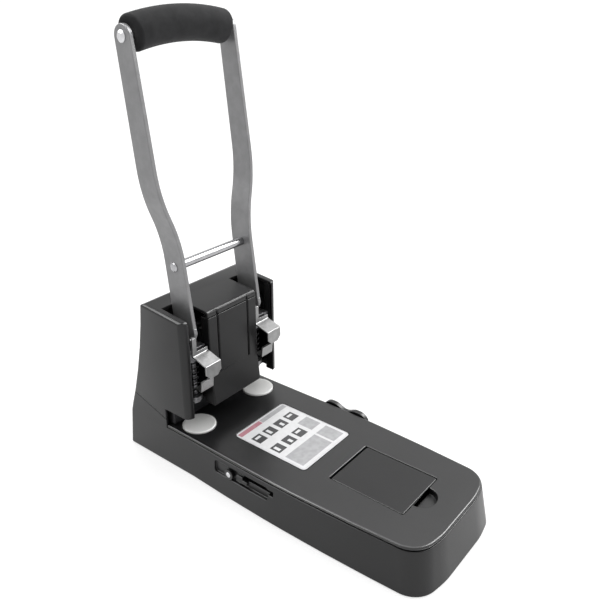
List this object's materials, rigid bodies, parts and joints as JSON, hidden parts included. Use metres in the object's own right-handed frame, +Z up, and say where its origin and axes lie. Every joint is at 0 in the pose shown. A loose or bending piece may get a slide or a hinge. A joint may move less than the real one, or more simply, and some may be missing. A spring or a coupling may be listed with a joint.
{
  "type": "two-hole punch",
  "caption": "Heavy two-hole desk paper punch worked by a tall forked hand lever, with hollow punch pins, cutting discs, a storage hatch and a sliding side guide.",
  "frame": {"origin": "on the desk under the midpoint between the two punch axes", "axes": "+Z up, +Y towards the back of the machine, +X to the right of a user who faces its front"},
  "size_m": [0.1334, 0.3255, 0.3945],
  "materials": {
    "base_plastic": "fine grain, satin",
    "tower_plastic": "fine grain, satin",
    "deck_plastic": "fine grain, satin",
    "guide_plastic": "satin",
    "inner_nylon": "matt",
    "disc_plastic": "semi-gloss",
    "label_film": "printed film",
    "grip_foam": "matt foam",
    "arm_steel": "silver-grey paint, satin",
    "frame_steel": "as rolled",
    "clip_steel": "bright zinc",
    "bright_rod": "bright",
    "zinc_steel": "zinc plated",
    "spring_steel": "oiled"
  },
  "bodies": {
    "base": {"lower_shell": "base_plastic", "tower_cover": "tower_plastic", "centre_cover": "deck_plastic", "deck_cover": "deck_plastic", "label_plate": "label_film", "storage_tray": "base_plastic", "base_pan": "base_plastic", "case_screws": "zinc_steel", "side_frame_right": "frame_steel", "side_frame_left": "frame_steel", "paper_stop": "frame_steel", "anvil_bar": "frame_steel", "pivot_shaft": "frame_steel", "shaft_circlips": "zinc_steel", "lever_spacers": "inner_nylon", "guide_channel": "frame_steel", "guide_leaf": "spring_steel", "guide_bush_right": "frame_steel", "return_spring_right": "spring_steel", "guide_bush_left": "frame_steel", "return_spring_left": "spring_steel"},
    "lever": {"lever_arm_right": "arm_steel", "lever_arm_left": "arm_steel", "cross_rod": "bright_rod", "grip_sleeve": "grip_foam", "grip_core": "frame_steel", "grip_bolts": "zinc_steel"},
    "hatch": {"hatch_lid": "deck_plastic"},
    "side_guide": {"guide_bar": "guide_plastic", "guide_plate": "guide_plastic"},
    "lock_button": {"guide_lock": "guide_plastic"},
    "punch_right": {"punch_carrier_right": "frame_steel", "punch_pin_right": "frame_steel", "clip_pin_right": "zinc_steel"},
    "clip_right": {"release_clip_right": "clip_steel"},
    "disc_right": {"cutting_disc_right": "disc_plastic"},
    "punch_left": {"punch_carrier_left": "frame_steel", "punch_pin_left": "frame_steel", "clip_pin_left": "zinc_steel"},
    "clip_left": {"release_clip_left": "clip_steel"},
    "disc_left": {"cutting_disc_left": "disc_plastic"}
  },
  "joints": [
    {"name": "lever_swing", "type": "hinge", "parent": "base", "child": "lever", "pos_m": [0, 0.02, 0.125], "axis": [1, 0, 0], "range_deg": [0, 72], "stiffness_Nm_per_rad": 0.87, "springref_deg": -17.19},
    {"name": "punch_slide_right", "type": "slide", "parent": "base", "child": "punch_right", "axis": [0, 0, -1], "range_m": [0, 0.0214], "deforming": ["return_spring_right"]},
    {"name": "punch_slide_left", "type": "slide", "parent": "base", "child": "punch_left", "axis": [0, 0, -1], "range_m": [0, 0.0214], "deforming": ["return_spring_left"]},
    {"name": "clip_hinge_right", "type": "hinge", "parent": "punch_right", "child": "clip_right", "pos_m": [0.04, -0.0074, 0.1315], "axis": [-1, 0, 0], "range_deg": [0, 30]},
    {"name": "clip_hinge_left", "type": "hinge", "parent": "punch_left", "child": "clip_left", "pos_m": [-0.04, -0.0074, 0.1315], "axis": [-1, 0, 0], "range_deg": [0, 30]},
    {"name": "disc_turn_right", "type": "hinge", "parent": "base", "child": "disc_right", "pos_m": [0.04, -0.003, 0.0375], "axis": [0, 0, 1], "continuous": true},
    {"name": "disc_turn_left", "type": "hinge", "parent": "base", "child": "disc_left", "pos_m": [-0.04, -0.003, 0.0375], "axis": [0, 0, 1], "continuous": true},
    {"name": "hatch_hinge", "type": "hinge", "parent": "base", "child": "hatch", "pos_m": [0, -0.1445, 0.03795], "axis": [-1, 0, 0], "range_deg": [0, 100]},
    {"name": "side_guide_slide", "type": "slide", "parent": "base", "child": "side_guide", "axis": [1, 0, 0], "range_m": [0, 0.085]},
    {"name": "lock_press", "type": "slide", "parent": "base", "child": "lock_button", "axis": [1, 0, 0], "range_m": [0, 0.0015], "stiffness_N_per_m": 800, "springref_m": -0.001}
  ],
  "couplings": [
    {"joint": "punch_slide_right", "follows": "lever_swing", "m_per_rad": 0.017},
    {"joint": "punch_slide_left", "follows": "lever_swing", "m_per_rad": 0.017}
  ]
}
